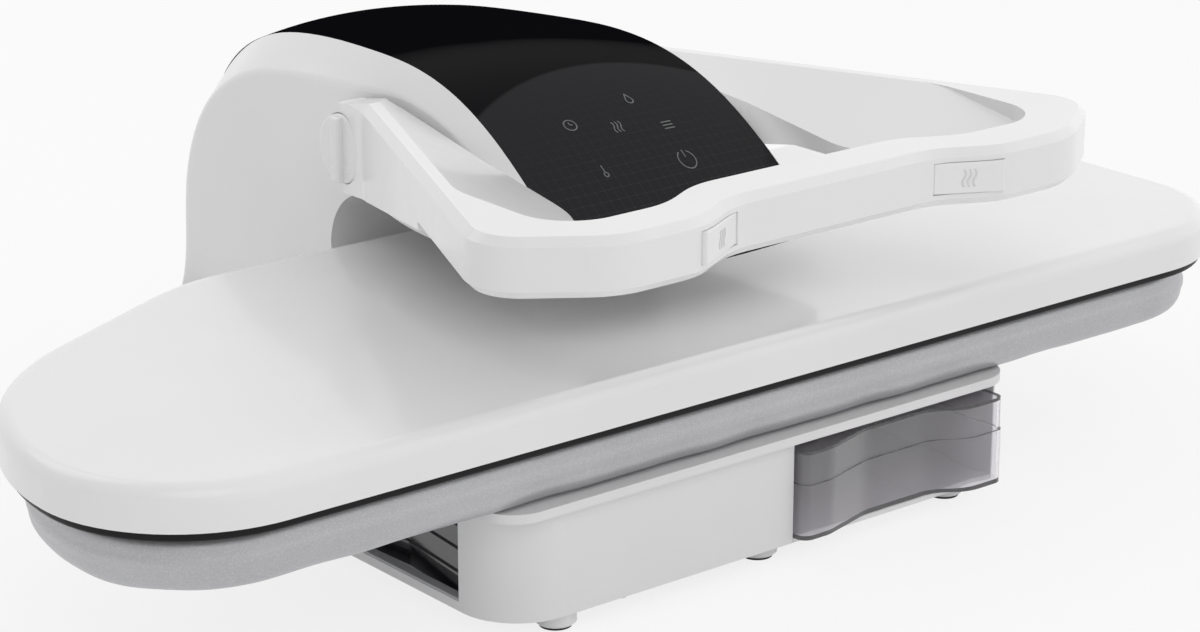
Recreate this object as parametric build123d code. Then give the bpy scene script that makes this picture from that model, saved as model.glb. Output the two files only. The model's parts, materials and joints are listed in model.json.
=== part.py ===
from build123d import *
import os
from math import atan2, cos, degrees, hypot, radians, sin, tan

# Tabletop steam press: a padded board on a low base, a long heated plate on a hinged head,
# and a horseshoe handle that swings on the head.
# Millimetres, +Z up. The model is laid out with X and Y from the middle of the plates and
# Z from the table, and every part is saved with the middle of the whole press at the origin.

# Whole press
front_reach = 224.0
rear_reach = 400.0
mech_x = 15.0
fit = 0.3
running_fit = 0.05

# Heights
foot_height = 12.0
base_height = 68.0
floor_thick = 3.0
tray_thick = 6.0
tray_step = 2.0
board_thick = 38.0
rest_gap = 0.3
plate_reveal = 6.5
cover_height = 27.0
head_lift = 30.0

# Plates
press_length = 900.0
press_depth = 333.0
front_corner_radius = 90.0
rear_corner_radius = 62.0
nose_front_radius = 97.0
nose_taper = 26.0
nose_taper_start = 235.0
crease_radius = 150.0
cover_wall = 3.0
cover_edge_radius = 10.0
heat_plate_thick = 9.5
heat_plate_clear = 0.6
steam_hole = 5.0
steam_hole_rows = 3
steam_hole_columns = 12
steam_hole_pitch = 58.0
steam_hole_row_gap = 70.0
steam_lid_length = 330.0
steam_lid_depth = 110.0
steam_lid_thick = 4.0
element_tube = 8.0
element_length = 620.0
element_depth = 170.0
element_bend = 40.0
standoff_height = 10.4
standoff_size = 14.0
carrier_length = 420.0
carrier_depth = 140.0
carrier_thick = 3.0

# Board
board_inset = 15.0
board_plate_thick = 1.6
board_hole = 9.0
board_hole_pitch = 48.0
cloth = 1.4
hem_width = 34.0
board_soft_radius = 14.0
board_lower_radius = 8.0
pad_clear = 2.1

# Base
base_left = 193.0
base_right = 213.0
base_front = 150.0
base_rear = 152.0
base_corner = 42.0
base_wall = 3.0
flange_left = 196.0
flange_right = 226.0
flange_front = 155.0
flange_rear = 150.0
flange_corner = 26.0
window_front = 104.0
window_rear = 106.0
window_sill = 6.0
side_recess = 12.0
side_hook = 4.0
side_rib = 1.5
side_ribs = 3
side_panel_thick = 2.5
foot_size = 26.0
foot_pad_thick = 2.0
foot_pad_inset = 3.0
screw_size = 4.0
screw_head = 7.0
screw_head_thick = 2.2
screw_length = 14.0
boss_size = 9.0

# Water tank
tank_left = 35.0
tank_rear = 12.0
tank_gap = 0.5
tank_wall = 2.4
tank_seam = 52.0
tank_nose = 163.0
tank_dip = 149.0
tank_top_drop = 5.0
tank_corner = 8.0
tank_step = 0.8
tank_fill_size = 30.0
tank_fill_y = -70.0
cap_size = 40.0
cap_thick = 2.4
cap_grip = 1.6
spigot_size = 10.0
spigot_height = 12.0
spigot_reach = 12.0
dock_size = 20.0
dock_length = 14.0
pump_length = 64.0
pump_size = 34.0
pump_x = -20.0
pump_y = 60.0
pump_lift = 4.0
pump_port = 10.0
hose_size = 8.0
hose_bend = 14.0
feed_x = -45.0
feed_z = 50.0
power_board_x = -110.0
power_board_y = -40.0
power_board_length = 110.0
power_board_depth = 90.0
power_board_thick = 1.6
power_board_lift = 8.0
gland_size = 14.0
gland_length = 16.0
gland_y = 240.0

# Rear hinge
hinge_y = 335.0
hinge_z = 54.0
shaft_size = 16.0
barrel_radius = 36.0
ear_thick = 10.0
tower_gap = 2.0
tower_width = 20.0
bracket_thick = 4.0
bracket_foot = 70.0
bush_wall = 3.0
bush_flange = 2.0
spring_wall = 6.0
spring_length = 33.0
well_front = 188.0
well_rear_height = 4.5
heel_z = 40.0
heel_start = 345.0
heel_slope = 0.51
head_foot_angle = 1.5

# Head
fan_y = 148.0
fan_z = 148.0
arch_radius = 44.0
head_wall = 3.0
crest_wall = 7.0
column_half = 92.0
head_flare = 21.0
flare_power = 6.5
shoulder_round = 8.0
panel_half_rear = 60.0
panel_half_front = 97.0
panel_crown = 6.7
panel_thick = 3.0
panel_ledge = 6.0
panel_gap = 0.4
panel_end = 162.0
underside_thick = 3.0
frame_half = 40.0
frame_thick = 4.0
frame_band = 40.0
frame_top_z = 235.0
frame_tube = 18.0
post_y = 30.0
post_depth = 50.0
post_wall = 4.0
post_flange = 20.0
post_flange_thick = 4.0
shroud_wall = 3.0
control_board_length = 120.0
control_board_depth = 84.0
control_board_thick = 1.6
control_board_lift = 3.0

# Crest of the head: angle up from level forward, crest radius about the fan axis, shoulder drop
head_stations = (
    (4, 252, 18),
    (14, 226, 18),
    (26, 199.5, 18),
    (40, 178, 18),
    (56, 159.5, 19),
    (75, 144, 20),
    (95, 138.6, 22),
    (113, 147, 24),
    (128, 166, 26),
    (143, 197, 28),
    (162, 234.6, 27),
    (180, 249, 22),
    (198, 264, 12),
    (214, 300, 12),
)

# Handle
hub_y = 136.0
hub_z = 232.0
hub_radius = 30.0
hub_face = 119.0
hub_inner = 98.5
pivot_size = 12.0
arm_gap = 1.5
grip_bottom = 233.0
grip_top = 269.0
grip_depth = 36.0
grip_bevel = 5.0
grip_recess = 20.0
s_bend_x = 100.0
s_bend_half = 19.0
s_bend_round = 60.0
lobe_x = 180.0
lobe_round = 60.0
arm_tip_x = 247.0
arm_tip_y = -176.0
arm_tip_round = 34.0
arm_foot_x = 126.0
arm_foot_y = 104.0
arm_foot_round = 40.0
rim_width = 14.0
rim_corner_x = 196.0
rim_corner_round = 36.0
throat_x = 168.0
throat_round = 16.0
throat_y = -90.0
dish_floor = 240.0
arm_root_y = -44.0
arm_drop = 20.0
grip_cover_thick = 3.0
grip_cavity_inset = 7.5
grip_roof = 5.0

# Buttons and knobs
button_width = 45.0
button_height = 19.5
button_depth = 9.0
button_proud = 1.4
button_gap = 0.35
button_round = 1.0
button_travel = 1.2
switch_width = 12.0
switch_depth = 6.0
knob_size = 46.0
knob_thick = 7.0
knob_recess = 4.0
knob_recess_gap = 0.5
knob_ridge = 4.5
knob_ridge_width = 9.0
knob_stub = 14.0
knob_stub_length = 6.0
thermostat_size = 20.0
thermostat_thick = 7.0

# Levels and places that follow from the sizes above
shift_y = (front_reach - rear_reach) / 2
base_bottom = foot_height
base_top = base_bottom + base_height
floor_top = base_bottom + floor_thick
tray_top = base_top + tray_thick
board_plate_z = tray_top + tray_step
board_top = tray_top + board_thick
heat_z = board_top + rest_gap
cover_z = heat_z + plate_reveal
heat_top = heat_z + heat_plate_thick
cover_top = cover_z + cover_height
head_under = cover_top + head_lift
carrier_z = heat_top + standoff_height
carrier_top = carrier_z + carrier_thick
plate_front = -press_depth / 2
plate_back = press_depth / 2
half_length = press_length / 2
tank_right = base_right - base_wall - tank_gap
tank_bottom = floor_top + fit
tank_top = base_top - 1
tower_half = column_half + tower_gap
housing_half = tower_half + tower_width
shaft_radius = shaft_size / 2
bush_radius = shaft_radius + bush_wall
bracket_x = tower_half + base_wall + 2
frame_inner = frame_half - frame_thick
post_half = frame_inner - fit
post_front = post_y - post_depth / 2
post_back = post_y + post_depth / 2
lobe_front = -front_reach
grip_front = lobe_front + grip_recess
grip_mid_z = (grip_bottom + grip_top) / 2
grip_slope = (arm_foot_x - arm_tip_x) / (arm_foot_y - arm_tip_y)
boss_in = base_wall + boss_size / 2 - 1
screw_places = (
    (-100, -base_front + boss_in),
    (5, -base_front + boss_in),
    (-140, base_rear - boss_in),
    (155, base_rear - boss_in),
    (mech_x - housing_half + base_wall + boss_size + 4, rear_reach - boss_in),
    (mech_x + housing_half - base_wall - boss_size - 4, rear_reach - boss_in),
)
pivot_radius = pivot_size / 2
foot_places = ((-143, -134), (24, -128), (190, -127), (-150, 118), (172, 118), (-70, 378), (100, 378))

SOLIDS = {}


def save(name, shape):
    """Keep a part, moved so that the middle of the press is the origin."""
    SOLIDS[name] = Pos(0, shift_y, 0) * shape


def slab(face, z0, z1):
    """Extrude a plan outline between two levels."""
    return Pos(0, 0, z0) * extrude(face, amount=z1 - z0, dir=(0, 0, 1))


def box(x0, x1, y0, y1, z0, z1):
    """A box between two corners."""
    return Pos((x0 + x1) / 2, (y0 + y1) / 2, (z0 + z1) / 2) * Box(x1 - x0, y1 - y0, z1 - z0)


def rod_x(y, z, radius, x0, x1):
    """A round bar along X."""
    return Pos((x0 + x1) / 2, y, z) * Rot(0, 90, 0) * Cylinder(radius, x1 - x0)


def rod_z(x, y, radius, z0, z1):
    """A round bar along Z."""
    return Pos(x, y, (z0 + z1) / 2) * Cylinder(radius, z1 - z0)


def rod_y(x, z, radius, y0, y1):
    """A round bar along Y."""
    return Pos(x, (y0 + y1) / 2, z) * Rot(90, 0, 0) * Cylinder(radius, y1 - y0)


def hose(points, bend):
    """A hose through points, straight runs joined by arcs."""
    path = FilletPolyline(*points, radius=bend)
    return sweep(Plane(origin=path @ 0, z_dir=path % 0) * Circle(hose_size / 2), path=path)


def side_sheet(points, x0, x1):
    """A polygon of (y, z) points, extruded along X."""
    face = make_face(Polyline(*[(x0, y, z) for y, z in points], close=True))
    return extrude(face, amount=x1 - x0, dir=(1, 0, 0))


def side_band(points, radius, x0, x1):
    """A bar of round-ended links through (y, z) points, extruded along X."""
    band = None
    for (ya, za), (yb, zb) in zip(points, points[1:]):
        length = hypot(yb - ya, zb - za)
        along = (0, (yb - ya) / length, (zb - za) / length)
        place = Plane(origin=(x0, (ya + yb) / 2, (za + zb) / 2), x_dir=along, z_dir=(1, 0, 0))
        link = place * extrude(SlotCenterToCenter(length, 2 * radius), amount=x1 - x0)
        band = link if band is None else band + link
    return band


def rounded_plan(x0, x1, y0, y1, radius):
    """A rectangle in plan with rounded corners."""
    return Pos((x0 + x1) / 2, (y0 + y1) / 2) * RectangleRounded(x1 - x0, y1 - y0, radius)


def both_sides(shape):
    """A part on the right of the mechanism's middle plane, and its mirror image."""
    return shape + mirror(shape, about=Plane.YZ.offset(mech_x))


def press_outline(inset=0.0):
    """Plan outline of the plates: straight front, square right end, tapered nose at the left."""
    taper = radians(nose_taper)
    out_x = -sin(taper)
    out_y = cos(taper)
    nose_y = plate_front + nose_front_radius
    start_x = -half_length + nose_taper_start
    nose_radius = (out_x * (-half_length - start_x) + out_y * (nose_y - plate_back)) / (-1 - out_x)
    nose_x = -half_length + nose_radius
    cut = crease_radius * tan(taper / 2)
    bend = (start_x - cut * out_y, plate_back + cut * out_x)
    meet = (nose_x + nose_radius * out_x, nose_y + nose_radius * out_y)
    right_x = half_length - front_corner_radius
    rear_x = half_length - rear_corner_radius
    rear_y = plate_back - rear_corner_radius
    front_y = plate_front + front_corner_radius
    edges = [
        Line((-half_length + nose_front_radius, plate_front), (right_x, plate_front)),
        CenterArc((right_x, front_y), front_corner_radius, -90, 90),
        Line((half_length, front_y), (half_length, rear_y)),
        CenterArc((rear_x, rear_y), rear_corner_radius, 0, 90),
        Line((rear_x, plate_back), (start_x + cut, plate_back)),
        CenterArc((start_x + cut, plate_back - crease_radius), crease_radius, 90, nose_taper),
        Line(bend, meet),
        CenterArc((nose_x, nose_y), nose_radius, 90 + nose_taper, 90 - nose_taper),
        CenterArc((-half_length + nose_front_radius, nose_y), nose_front_radius, 180, 90),
    ]
    face = make_face(edges)
    if inset > 0:
        face = offset(face, amount=-inset)
    return face


def base_plan(inset=0.0):
    """Plan outline of the base: a wide front box with a narrower hinge housing behind it."""
    front = rounded_plan(-base_left, base_right, -base_front, base_rear, base_corner)
    right = rounded_plan(base_right - 2 * base_corner, base_right, -base_front, base_rear, 6)
    rear = rounded_plan(mech_x - housing_half, mech_x + housing_half, base_rear - 40, rear_reach, 16)
    face = front + right + rear
    if inset > 0:
        face = offset(face, amount=-inset)
    return face


def housing_keep():
    """Region kept of the base in side view: the hinge housing slopes down behind the shaft."""
    points = [
        (-base_front - 5, base_bottom - 1),
        (rear_reach + 5, base_bottom - 1),
        (rear_reach + 5, hinge_z - 10),
        (hinge_y + 16, base_top - 2),
        (hinge_y - 30, base_top),
        (-base_front - 5, base_top),
    ]
    return side_sheet(points, -base_left - 5, base_right + 5)


def make_base():
    """Base casing, its floor, the tray that closes it, and the dark side panel."""
    well = box(mech_x - tower_half, mech_x + tower_half, well_front, rear_reach + 5,
               floor_top + well_rear_height, base_top + 5)
    inner_walls = slab(base_plan(base_wall), base_bottom - 1, base_top + 1)
    top_deck = slab(base_plan(), base_top - base_wall, base_top)
    top_deck &= box(-base_left, base_right, base_rear - base_wall, rear_reach + 5, 0, base_top)
    well_box = box(mech_x - tower_half - base_wall, mech_x + tower_half + base_wall, well_front - base_wall,
                   rear_reach - base_wall, floor_top + fit, base_top)
    bay_left = tank_left - tank_gap
    bay_right = tank_right + tank_gap
    bay_rear = tank_rear + tank_gap
    bay = box(bay_left - base_wall, bay_right + 1, -base_front, bay_rear + base_wall, floor_top + fit, base_top)
    bay -= box(bay_left, bay_right, -base_front - 1, bay_rear, base_bottom, base_top + 1)
    casing = slab(base_plan(), base_bottom, base_top) - inner_walls
    casing += top_deck
    casing += well_box - box(mech_x - tower_half, mech_x + tower_half, well_front, rear_reach, 0, base_top + 5)
    casing -= well
    casing &= housing_keep()
    casing += bay
    casing -= box(bay_left, bay_right, -base_front - 1, -base_front + 2 * base_wall, 0, base_top + 1)
    casing -= box(-base_left - 1, -base_left + base_wall + 1, -window_front, window_rear,
                  base_bottom + window_sill, base_top + 1)
    casing -= rod_x(hinge_y, hinge_z, shaft_radius + 1, mech_x - housing_half + base_wall,
                    mech_x + housing_half - base_wall)
    casing -= rod_y((tank_left + tank_right) / 2, tank_bottom + spigot_height, spigot_size / 2 + 1, 0,
                    bay_rear + base_wall + 1)
    casing -= rod_x(gland_y, 40, gland_size / 2 + fit, mech_x - housing_half - 1, mech_x - housing_half + base_wall)
    for x, y in screw_places:
        boss = rod_z(x, y, boss_size / 2, floor_top + fit, floor_top + 20)
        casing += boss
        casing -= rod_z(x, y, screw_size / 2, 0, floor_top + screw_length)
    save("base_housing", casing)

    floor = slab(base_plan(base_wall + fit), base_bottom, floor_top)
    floor += box(bay_left + fit, bay_right - fit, -base_front, 0, base_bottom, floor_top)
    screws = []
    for x, y in screw_places:
        floor -= rod_z(x, y, screw_size / 2 + fit, 0, floor_top + 1)
        screw = rod_z(x, y, screw_head / 2, base_bottom - screw_head_thick, base_bottom)
        screws.append(screw + rod_z(x, y, screw_size / 2, base_bottom - 1, floor_top + screw_length - 2))
    save("base_floor", floor)
    save("floor_screws", Compound(screws))

    tray = slab(rounded_plan(-flange_left, flange_right, -flange_front, flange_rear, flange_corner),
                base_top, tray_top)
    reach = press_depth / 2 - board_inset - hem_width - 4
    tray += slab(rounded_plan(-flange_left + 8, flange_right - 8, -reach, reach, 12), tray_top, board_plate_z)
    save("board_tray", tray)


def make_side_panel():
    """Dark moulded panel set back in the open left side, with a grey sill below it."""
    wall_x = -base_left + base_wall
    end_x = wall_x + side_hook
    crease = (wall_x + side_recess, -window_front / 3)
    ends = [(end_x, -window_front - side_hook), crease, (end_x, window_rear + side_hook)]
    back = [(x + side_panel_thick, y) for x, y in reversed(ends)]
    panel = slab(make_face(Polyline(*ends, *back, close=True)), floor_top + fit, base_top - fit)
    for i in range(side_ribs):
        z = floor_top + base_height * (i + 1) / (side_ribs + 1.5)
        rib = Polyline(*[(x - side_rib, y) for x, y in ends], *back, close=True)
        panel += slab(make_face(rib), z, z + side_rib) & box(-300, 0, -window_front, window_rear, 0, 99)
    save("left_side_panel", panel)
    sill_z = base_bottom + window_sill
    save("side_sill", box(-base_left, end_x - fit, -window_front + fit, window_rear - fit, sill_z + fit,
                          sill_z + 2))


def make_feet():
    """Seven round feet on the floor, each with a rubber pad."""
    foot = Cylinder(foot_size / 2, foot_height - foot_pad_thick)
    foot = chamfer(foot.edges().group_by(Axis.Z)[0], 1.5)
    pad = Cylinder(foot_size / 2 - foot_pad_inset, foot_pad_thick)
    feet = []
    pads = []
    for x, y in foot_places:
        feet.append(Pos(x, y, (foot_height + foot_pad_thick) / 2) * foot)
        pads.append(Pos(x, y, foot_pad_thick / 2) * pad)
    save("feet", Compound(feet))
    save("foot_pads", Compound(pads))


def make_board():
    """Perforated board plate, foam pad and the metallised cover wrapped round both."""
    plate_inset = board_inset + cloth + board_lower_radius
    plate = slab(press_outline(plate_inset), board_plate_z, board_plate_z + board_plate_thick)
    count = int((press_length - 2 * nose_front_radius) / board_hole_pitch)
    holes = []
    for row in (-1, 0, 1):
        for i in range(count):
            x = (i - (count - 1) / 2) * board_hole_pitch
            holes.append(rod_z(x, row * board_hole_pitch * 1.8, board_hole / 2, board_plate_z - 1,
                               board_plate_z + board_plate_thick + 1))
    save("board_plate", plate - holes)
    pad = slab(press_outline(board_inset + pad_clear + cloth), board_plate_z + board_plate_thick + fit,
               board_top - cloth - fit)
    pad = fillet(pad.edges().group_by(Axis.Z)[-1], board_soft_radius - cloth)
    save("board_pad", pad)
    cover = slab(press_outline(board_inset), tray_top + fit, board_top)
    cover = fillet(cover.edges().group_by(Axis.Z)[-1], board_soft_radius)
    cover = fillet(cover.edges().group_by(Axis.Z)[0], board_lower_radius)
    inside = slab(press_outline(board_inset + cloth), tray_top + fit + cloth, board_top - cloth)
    inside = fillet(inside.edges().group_by(Axis.Z)[-1], board_soft_radius - cloth)
    inside = fillet(inside.edges().group_by(Axis.Z)[0], board_lower_radius - cloth)
    cover -= inside
    cover -= slab(press_outline(board_inset + hem_width), tray_top - 1, board_plate_z + 1)
    save("board_cover", cover)


def tank_plan(inset=0.0):
    """Plan outline of the tank: square sides and a wavy front."""
    left = tank_left + inset
    right = tank_right - inset
    front = -tank_nose + inset
    dip = -tank_dip + inset
    dip_x = tank_left + (tank_right - tank_left) * 0.36
    round_in = tank_corner - inset
    points = [(left, tank_rear - inset), (left, front + 3), (left + 22, front + 3), (dip_x, dip),
              (right - 52, dip), (right - 32, front), (right, front), (right, tank_rear - inset)]
    radii = [0, round_in, 20, 40, 30, 30, round_in, 0]
    return make_face(FilletPolyline(*points, radius=radii, close=True))


def make_tank():
    """Water tank that slides out forwards: body, top half, filler cap and outlet spigot."""
    fill_x = (tank_left + tank_right) / 2
    roof = tank_top - tank_top_drop
    spigot_z = tank_bottom + spigot_height
    spigot_hole = rod_y(fill_x, spigot_z, spigot_size / 2, tank_rear - 20, tank_rear + 5)
    body = slab(tank_plan(), tank_bottom, tank_seam)
    body -= slab(tank_plan(tank_wall), tank_bottom + tank_wall, tank_seam + 1)
    save("tank_body", body - spigot_hole)
    top = slab(tank_plan(tank_step), tank_seam, roof)
    top -= slab(tank_plan(tank_step + tank_wall), tank_seam - 1, roof - tank_wall)
    top -= rod_z(fill_x, tank_fill_y, tank_fill_size / 2, tank_seam, roof + 1)
    save("tank_top", top)
    cap = rod_z(fill_x, tank_fill_y, cap_size / 2, roof + fit, roof + fit + cap_thick)
    cap += rod_z(fill_x, tank_fill_y, tank_fill_size / 2 - running_fit, roof - 2 * tank_wall, roof + fit + cap_thick)
    grip = box(fill_x - 2, fill_x + 2, tank_fill_y - cap_size / 2 + 3, tank_fill_y + cap_size / 2 - 3,
               roof + fit, roof + fit + cap_thick + cap_grip)
    save("tank_cap", cap + grip)
    spigot = rod_y(fill_x, spigot_z, spigot_size / 2 - running_fit, tank_rear - tank_wall - 6,
                   tank_rear + spigot_reach)
    spigot += rod_y(fill_x, spigot_z, spigot_size / 2 + 2, tank_rear - tank_wall - 6, tank_rear - tank_wall - fit)
    spigot -= rod_y(fill_x, spigot_z, spigot_size / 2 - 2, tank_rear - 30, tank_rear + 30)
    save("tank_spigot", spigot)


def make_water_parts():
    """Dock, pump and hoses that take water from the tank towards the head."""
    fill_x = (tank_left + tank_right) / 2
    z = tank_bottom + spigot_height
    dock_y = tank_rear + tank_gap + base_wall + fit
    dock = box(fill_x - dock_size / 2, fill_x + dock_size / 2, dock_y, dock_y + dock_length, floor_top,
               z + dock_size / 2)
    dock -= rod_y(fill_x, z, spigot_size / 2 + running_fit, dock_y - 1, dock_y + dock_length - 3)
    dock -= rod_y(fill_x, z, hose_size / 2 - 1.5, dock_y, dock_y + dock_length + 1)
    save("tank_dock", dock)
    pump_z = floor_top + pump_size / 2 + pump_lift
    pump_left = pump_x - pump_length / 2
    pump_right = pump_x + pump_length / 2
    pump = rod_x(pump_y, pump_z, pump_size / 2, pump_left, pump_right)
    pump += box(pump_left, pump_right, pump_y - pump_size / 3, pump_y + pump_size / 3, floor_top, pump_z)
    pump += rod_x(pump_y, pump_z, hose_size / 2, pump_left - pump_port, pump_right + pump_port)
    save("water_pump", pump)
    start = dock_y + dock_length
    save("inlet_hose", hose([(fill_x, start, z), (fill_x, pump_y, z), (fill_x - 40, pump_y, pump_z),
                             (pump_right + pump_port, pump_y, pump_z)], hose_bend))
    wall_y = well_front - base_wall - fit
    far = pump_left - pump_port - 24
    save("feed_hose", hose([(pump_left - pump_port, pump_y, pump_z), (far, pump_y, pump_z),
                            (far, pump_y + 50, pump_z), (feed_x, pump_y + 80, feed_z),
                            (feed_x, wall_y, feed_z)], hose_bend))
    board_x = power_board_x
    board_y = power_board_y
    board_z = floor_top + power_board_lift
    half_x = power_board_length / 2
    half_y = power_board_depth / 2
    board = box(board_x - half_x, board_x + half_x, board_y - half_y, board_y + half_y, board_z,
                board_z + power_board_thick)
    board += box(board_x - 40, board_x - 8, board_y - 30, board_y, board_z, board_z + 26)
    board += box(board_x + 14, board_x + 34, board_y - 30, board_y + 20, board_z, board_z + 18)
    for dx in (-1, 1):
        for dy in (-1, 1):
            board += rod_z(board_x + dx * (half_x - 5), board_y + dy * (half_y - 5), 3, floor_top, board_z)
    save("power_board", board)
    gland_x = mech_x - housing_half
    gland = rod_x(gland_y, 40, gland_size / 2, gland_x - gland_length, gland_x + base_wall + 3)
    gland += rod_x(gland_y, 40, gland_size / 2 + 2, gland_x - 3, gland_x)
    save("cord_gland", gland)


def make_hinge():
    """Steel brackets in the base's towers, the fixed shaft, bushes and lift springs."""
    z_foot = floor_top
    right = bracket_x + mech_x
    upright = side_sheet([(hinge_y - bracket_foot / 2, z_foot), (hinge_y + bracket_foot / 2, z_foot),
                          (hinge_y + 15, hinge_z), (hinge_y - 15, hinge_z)], right, right + bracket_thick)
    upright += rod_x(hinge_y, hinge_z, 15, right, right + bracket_thick)
    upright += box(right, right + 12, hinge_y - bracket_foot / 2, hinge_y + bracket_foot / 2, z_foot,
                   z_foot + bracket_thick)
    upright -= rod_x(hinge_y, hinge_z, shaft_radius + running_fit, right - 1, right + bracket_thick + 1)
    save("hinge_brackets", both_sides(upright))
    end = bracket_x + bracket_thick + 3
    shaft = rod_x(hinge_y, hinge_z, shaft_radius, mech_x - end, mech_x + end)
    shaft = chamfer(shaft.edges().group_by(Axis.X)[0] + shaft.edges().group_by(Axis.X)[-1], 1)
    save("hinge_shaft", shaft)
    x0 = mech_x + frame_inner - bush_flange
    bush = rod_x(hinge_y, hinge_z, bush_radius, x0, mech_x + frame_half + 1)
    bush += rod_x(hinge_y, hinge_z, bush_radius + 3, x0, mech_x + frame_inner - fit)
    bush -= rod_x(hinge_y, hinge_z, shaft_radius + running_fit, x0 - 1, mech_x + frame_half + 2)
    save("hinge_bushes", both_sides(bush))
    gap = 1.0
    x0 = mech_x + gap
    spring = rod_x(hinge_y, hinge_z, shaft_radius + fit + spring_wall, x0, x0 + spring_length - 2)
    spring -= rod_x(hinge_y, hinge_z, shaft_radius + fit, x0 - 1, x0 + spring_length)
    save("lift_springs", both_sides(spring))


def fan_plane(angle):
    """The section plane of the head at an angle up from level forward; its Y runs outwards."""
    a = radians(angle)
    return Plane(origin=(mech_x, fan_y, fan_z), x_dir=(1, 0, 0), z_dir=(0, -sin(a), -cos(a)))


def fan_angle(y, z):
    """Angle of a point about the fan axis, up from level forward."""
    return degrees(atan2(z - fan_z, fan_y - y))


def flare(angle):
    """Near 0 at the column and 1 at the front of the head."""
    return (1 + cos(radians(min(angle, 180)))) / 2


def panel_half(angle):
    """Half width of the touch panel at a section."""
    return panel_half_rear + (panel_half_front - panel_half_rear) * flare(angle)


def head_half(angle):
    """Half width of the head's side walls at a section."""
    return column_half + head_flare * flare(angle) ** flare_power


def head_section(station, wall, roof, rounding):
    """One section of the head: side walls, sloped shoulders and a crowned crest."""
    angle, crest, drop = station
    half = head_half(angle) - wall
    panel = panel_half(angle) - wall * 0.4
    low = arch_radius + wall
    edge = crest - roof
    lines = [
        Line((-half, low), (half, low)),
        Line((half, low), (half, edge - drop)),
        Line((half, edge - drop), (panel, edge)),
        ThreePointArc((panel, edge), (0, edge + panel_crown), (-panel, edge)),
        Line((-panel, edge), (-half, edge - drop)),
        Line((-half, edge - drop), (-half, low)),
    ]
    face = make_face(lines)
    corners = [v for v in face.vertices() if abs(abs(v.X) - half) < 0.01 and v.Y > low + 1]
    return fan_plane(angle) * fillet(corners, rounding)


def head_body(wall, roof, rounding, extra_angle=0.0):
    """The whole head as a fan of sections, from the front down to the foot of the column."""
    last = head_stations[-1]
    stations = head_stations[:-1] + ((last[0] + extra_angle, last[1], last[2]),)
    return loft([head_section(s, wall, roof, rounding) for s in stations])


def crest_section(station, lift, sink, margin):
    """One section of a sheet that follows the crowned crest of the head."""
    angle, crest, drop = station
    half = panel_half(angle) - margin
    edge = crest + panel_crown * (1 - (half / panel_half(angle)) ** 2)
    top = crest + panel_crown
    lines = [
        ThreePointArc((half, edge + lift), (0, top + lift), (-half, edge + lift)),
        Line((-half, edge + lift), (-half, edge - sink)),
        ThreePointArc((-half, edge - sink), (0, top - sink), (half, edge - sink)),
        Line((half, edge - sink), (half, edge + lift)),
    ]
    return fan_plane(angle) * make_face(lines)


def crest_sheet(lift, sink, margin, end_angle=0.0):
    """A sheet on the crest, from the front of the head to the rear end of the panel."""
    stations = [s for s in head_stations if s[0] <= panel_end]
    last = stations[-1]
    stations[-1] = (last[0] - end_angle,) + last[1:]
    return loft([crest_section(s, lift, sink, margin) for s in stations])


def under_cut():
    """What is cut away in front of the arch, below the level underside of the head."""
    reach = fan_y - (arch_radius ** 2 - (head_under - fan_z) ** 2) ** 0.5
    return box(-250, 280, -200, reach, 0, head_under)


def heel_cut():
    """What is cut away below the heel of the column, so that it clears the floor as it swings."""
    far = rear_reach + 60
    points = [(fan_y, -80), (fan_y, heel_z), (heel_start, heel_z),
              (far, heel_z + (far - heel_start) * heel_slope), (far, -80)]
    return side_sheet(points, -250, 280)


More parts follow.
